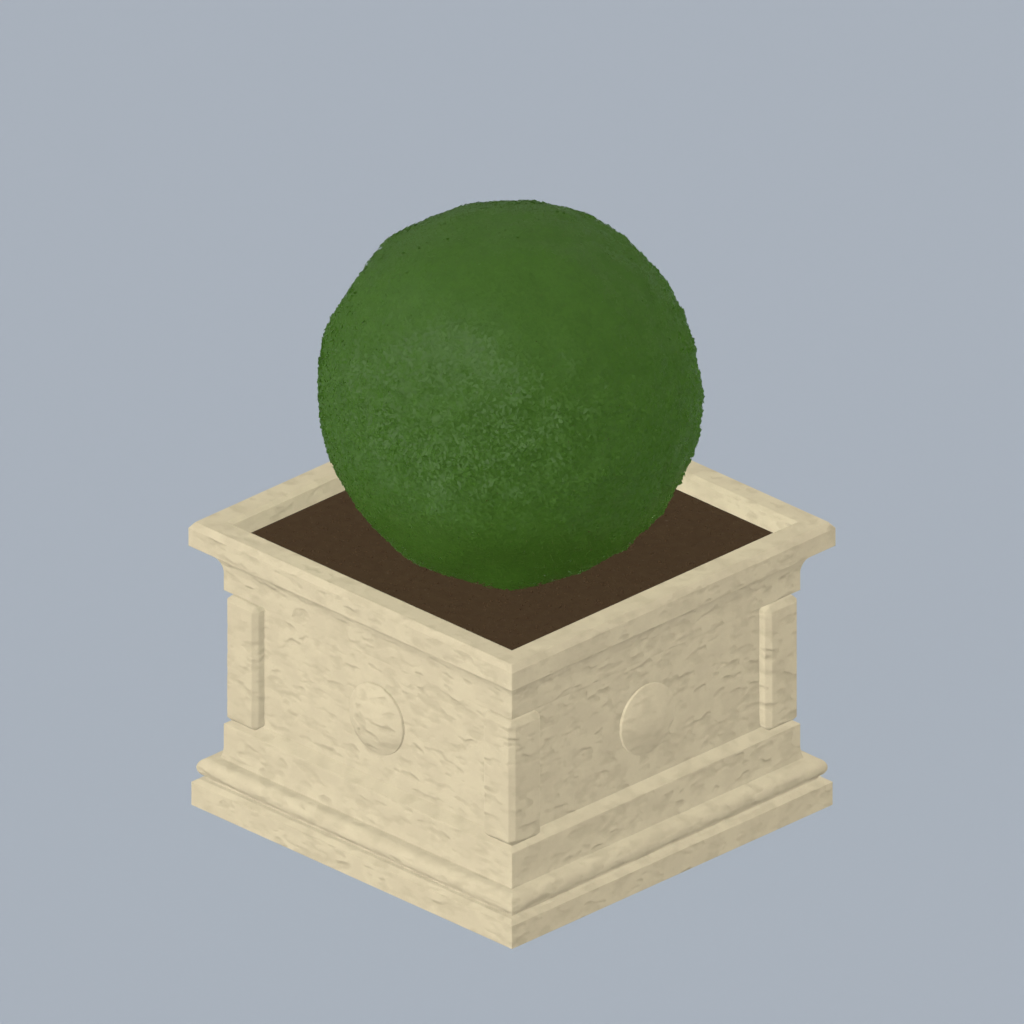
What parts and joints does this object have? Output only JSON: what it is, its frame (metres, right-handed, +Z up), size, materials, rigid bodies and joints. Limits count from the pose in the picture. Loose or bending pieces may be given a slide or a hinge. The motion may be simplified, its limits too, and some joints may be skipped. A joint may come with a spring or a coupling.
{
  "type": "box topiary ball in a square stone planter",
  "caption": "Clipped evergreen box ball on a short stem, standing in soil in a square cast-stone planter with sunk panels, round bosses, corner pilasters, coping and moulded base.",
  "frame": {"origin": "middle of the planter's flat underside, on the ground", "axes": "+Z up; X and Y square to the planter's four sides, with the front panel facing -Y"},
  "size_m": [0.6, 0.6, 0.8559],
  "materials": {
    "cast_stone": "matte",
    "potting_soil": "matte",
    "bark": "matte",
    "box_leaf": "matte"
  },
  "bodies": {
    "root": {"plinth": "cast_stone", "base_moulding": "cast_stone", "planter_body": "cast_stone", "rim": "cast_stone", "corner_pilaster_1": "cast_stone", "corner_pilaster_2": "cast_stone", "corner_pilaster_3": "cast_stone", "corner_pilaster_4": "cast_stone", "boss_front": "cast_stone", "boss_right": "cast_stone", "boss_back": "cast_stone", "boss_left": "cast_stone", "soil": "potting_soil", "stem": "bark", "foliage_ball": "box_leaf"}
  },
  "joints": []
}
